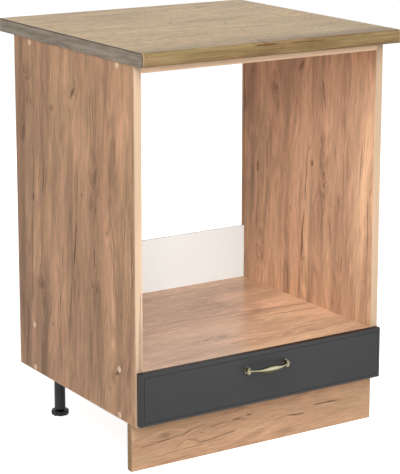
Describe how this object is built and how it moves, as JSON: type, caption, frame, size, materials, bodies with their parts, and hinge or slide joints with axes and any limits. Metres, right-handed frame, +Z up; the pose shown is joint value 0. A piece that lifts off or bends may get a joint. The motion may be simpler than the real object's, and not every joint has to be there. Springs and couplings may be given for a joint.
{
  "type": "oven housing unit",
  "caption": "Freestanding base cabinet for a built-in oven: open niche over a low drawer with bow handle, worktop, plinth and adjustable legs.",
  "frame": {"origin": "middle of the whole unit's outline, on the floor", "axes": "+Z up, +X to the viewer's right when facing the drawer, +Y to the wall"},
  "size_m": [0.62, 0.609, 0.856],
  "materials": {
    "oak_board": "melamine-faced chipboard, light oak decor with a long grain, matt",
    "edge_band": "thin melamine edge band, paler oak, matt",
    "white_hardboard": "white lacquered hardboard, satin",
    "worktop_laminate": "postformed laminate, yellowish oak decor with fine grain, satin",
    "worktop_edging": "grey-brown stone-look edging strip, matt",
    "anthracite_front": "foil-wrapped MDF, anthracite, soft matt",
    "antique_brass": "antique brass, darkened in the hollows, rubbed bright on the ridges",
    "black_plastic": "moulded black plastic, fine texture",
    "zinc_plated_steel": "bright zinc plate",
    "cap_plastic": "light oak-coloured plastic caps, matt",
    "beech": "ribbed beech dowels, raw",
    "white_coated_steel": "white epoxy-coated sheet steel, satin",
    "roller_plastic": "white nylon rollers"
  },
  "bodies": {
    "root": {"back_strip": "white_hardboard", "bottom_panel": "oak_board", "carcass_dowels": "beech", "carcass_screws_left": "zinc_plated_steel", "carcass_screws_right": "zinc_plated_steel", "edge_band_bottom": "edge_band", "edge_band_left": "edge_band", "edge_band_rail": "edge_band", "edge_band_right": "edge_band", "edge_band_shelf": "edge_band", "front_rail": "oak_board", "leg_screws": "zinc_plated_steel", "leg_socket_front_left": "black_plastic", "leg_socket_front_right": "black_plastic", "leg_socket_rear_left": "black_plastic", "leg_socket_rear_right": "black_plastic", "leg_tube_front_left": "black_plastic", "leg_tube_front_right": "black_plastic", "leg_tube_rear_left": "black_plastic", "leg_tube_rear_right": "black_plastic", "oven_shelf": "oak_board", "rear_rail": "oak_board", "runner_cabinet_left": "white_coated_steel", "runner_cabinet_right": "white_coated_steel", "runner_cabinet_screws": "zinc_plated_steel", "screw_caps_left": "cap_plastic", "screw_caps_right": "cap_plastic", "side_panel_left": "oak_board", "side_panel_right": "oak_board", "worktop": "worktop_laminate", "worktop_edging_left": "worktop_edging", "worktop_edging_right": "worktop_edging", "worktop_screws": "zinc_plated_steel"},
    "drawer": {"drawer_front": "anthracite_front", "drawer_side_left": "oak_board", "drawer_side_right": "oak_board", "drawer_inner_front": "oak_board", "drawer_back": "oak_board", "drawer_bottom": "white_hardboard", "drawer_box_screws": "zinc_plated_steel", "drawer_front_screws": "zinc_plated_steel", "handle": "antique_brass", "handle_screws": "zinc_plated_steel", "runner_drawer_left": "white_coated_steel", "runner_drawer_right": "white_coated_steel", "runner_drawer_screws": "zinc_plated_steel"},
    "plinth": {"plinth": "oak_board", "plinth_clip_left": "black_plastic", "plinth_clip_right": "black_plastic", "plinth_clip_screws": "zinc_plated_steel"},
    "roller_front_left": {"roller_front_left": "roller_plastic"},
    "roller_rear_left": {"roller_rear_left": "roller_plastic"},
    "roller_front_right": {"roller_front_right": "roller_plastic"},
    "roller_rear_right": {"roller_rear_right": "roller_plastic"},
    "foot_front_left": {"leg_foot_front_left": "black_plastic"},
    "foot_front_right": {"leg_foot_front_right": "black_plastic"},
    "foot_rear_left": {"leg_foot_rear_left": "black_plastic"},
    "foot_rear_right": {"leg_foot_rear_right": "black_plastic"}
  },
  "joints": [
    {"name": "drawer_slide", "type": "slide", "parent": "root", "child": "drawer", "axis": [0, -1, 0], "range_m": [0, 0.34]},
    {"name": "roller_front_left_spin", "type": "hinge", "parent": "root", "child": "roller_front_left", "pos_m": [-0.2874, -0.2435, 0.1375], "axis": [1, 0, 0], "continuous": true},
    {"name": "roller_rear_left_spin", "type": "hinge", "parent": "drawer", "child": "roller_rear_left", "pos_m": [-0.2856, 0.1745, 0.1373], "axis": [1, 0, 0], "continuous": true},
    {"name": "roller_front_right_spin", "type": "hinge", "parent": "root", "child": "roller_front_right", "pos_m": [0.2694, -0.2435, 0.1375], "axis": [1, 0, 0], "continuous": true},
    {"name": "roller_rear_right_spin", "type": "hinge", "parent": "drawer", "child": "roller_rear_right", "pos_m": [0.2676, 0.1745, 0.1373], "axis": [1, 0, 0], "continuous": true},
    {"name": "foot_front_left_level", "type": "slide", "parent": "root", "child": "foot_front_left", "axis": [0, 0, -1], "range_m": [-0.0015, 0.02]},
    {"name": "foot_front_right_level", "type": "slide", "parent": "root", "child": "foot_front_right", "axis": [0, 0, -1], "range_m": [-0.0015, 0.02]},
    {"name": "foot_rear_left_level", "type": "slide", "parent": "root", "child": "foot_rear_left", "axis": [0, 0, -1], "range_m": [-0.0015, 0.02]},
    {"name": "foot_rear_right_level", "type": "slide", "parent": "root", "child": "foot_rear_right", "axis": [0, 0, -1], "range_m": [-0.0015, 0.02]},
    {"name": "plinth_pull", "type": "slide", "parent": "root", "child": "plinth", "axis": [0, -1, 0], "range_m": [0, 0.06]}
  ],
  "couplings": [
    {"joint": "roller_front_left_spin", "follows": "drawer_slide", "rad_per_m": 100},
    {"joint": "roller_rear_left_spin", "follows": "drawer_slide", "rad_per_m": 100},
    {"joint": "roller_front_right_spin", "follows": "drawer_slide", "rad_per_m": 100},
    {"joint": "roller_rear_right_spin", "follows": "drawer_slide", "rad_per_m": 100}
  ]
}
